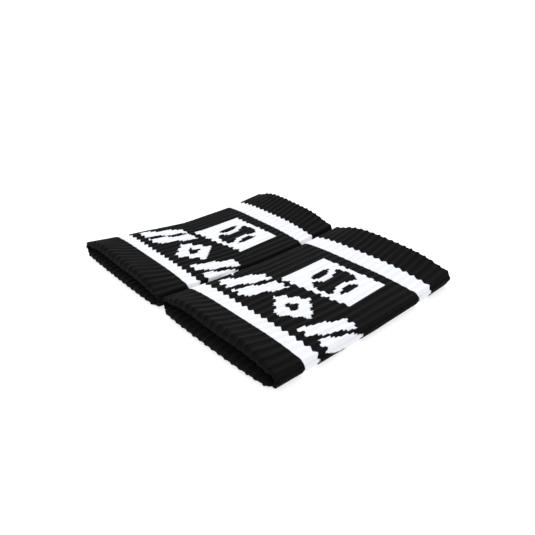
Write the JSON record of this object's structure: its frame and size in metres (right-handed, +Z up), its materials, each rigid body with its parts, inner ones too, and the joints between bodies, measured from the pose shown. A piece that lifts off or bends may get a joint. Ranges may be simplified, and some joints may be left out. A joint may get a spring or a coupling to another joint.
{
  "type": "sweat wristband pair",
  "caption": "Ribbed double-layer knit sweat wristbands lying flat side by side, black with white stripes, a white ball emblem and a row of white diamonds and slanted bars.",
  "frame": {"origin": "on the floor under the middle of the pair as it lies", "axes": "+X across both bands, +Y along the arm towards the rear mouths, +Z up"},
  "size_m": [0.1686, 0.1286, 0.0142],
  "materials": {
    "black_yarn": "matte ribbed knit of dull black yarn",
    "white_yarn": "matte ribbed knit of white yarn",
    "elastic_yarn": "covered elastic yarn, matte",
    "seam_thread": "matte black sewing thread"
  },
  "bodies": {
    "band_a_lower": {"band_a_centre_panel_lower": "black_yarn", "band_a_closing_seam_lower": "seam_thread", "band_a_front_cuff_lower": "black_yarn", "band_a_front_elastic_lower": "elastic_yarn", "band_a_front_lining_lower": "black_yarn", "band_a_front_stripe_lower": "white_yarn", "band_a_motif_row_lower": "white_yarn", "band_a_rear_cuff_lower": "black_yarn", "band_a_rear_elastic_lower": "elastic_yarn", "band_a_rear_lining_lower": "black_yarn", "band_a_rear_stripe_lower": "white_yarn"},
    "band_a_upper": {"band_a_centre_panel_upper": "black_yarn", "band_a_closing_seam_upper": "seam_thread", "band_a_emblem_upper": "white_yarn", "band_a_front_cuff_upper": "black_yarn", "band_a_front_elastic_upper": "elastic_yarn", "band_a_front_lining_upper": "black_yarn", "band_a_front_stripe_upper": "white_yarn", "band_a_motif_row_upper": "white_yarn", "band_a_rear_cuff_upper": "black_yarn", "band_a_rear_elastic_upper": "elastic_yarn", "band_a_rear_lining_upper": "black_yarn", "band_a_rear_stripe_upper": "white_yarn"},
    "band_b_lower": {"band_b_centre_panel_lower": "black_yarn", "band_b_closing_seam_lower": "seam_thread", "band_b_front_cuff_lower": "black_yarn", "band_b_front_elastic_lower": "elastic_yarn", "band_b_front_lining_lower": "black_yarn", "band_b_front_stripe_lower": "white_yarn", "band_b_motif_row_lower": "white_yarn", "band_b_rear_cuff_lower": "black_yarn", "band_b_rear_elastic_lower": "elastic_yarn", "band_b_rear_lining_lower": "black_yarn", "band_b_rear_stripe_lower": "white_yarn"},
    "band_b_upper": {"band_b_centre_panel_upper": "black_yarn", "band_b_closing_seam_upper": "seam_thread", "band_b_emblem_upper": "white_yarn", "band_b_front_cuff_upper": "black_yarn", "band_b_front_elastic_upper": "elastic_yarn", "band_b_front_lining_upper": "black_yarn", "band_b_front_stripe_upper": "white_yarn", "band_b_motif_row_upper": "white_yarn", "band_b_rear_cuff_upper": "black_yarn", "band_b_rear_elastic_upper": "elastic_yarn", "band_b_rear_lining_upper": "black_yarn", "band_b_rear_stripe_upper": "white_yarn"}
  },
  "joints": [
    {"name": "band_a_opening", "type": "slide", "parent": "band_a_lower", "child": "band_a_upper", "axis": [0, 0, 1], "range_m": [0, 0.02], "stiffness_N_per_m": 150},
    {"name": "band_b_opening", "type": "slide", "parent": "band_b_lower", "child": "band_b_upper", "axis": [0, 0, 1], "range_m": [0, 0.02], "stiffness_N_per_m": 150},
    {"name": "band_b_apart", "type": "slide", "parent": "band_a_lower", "child": "band_b_lower", "axis": [1, 0, 0], "range_m": [0, 0.1]}
  ]
}
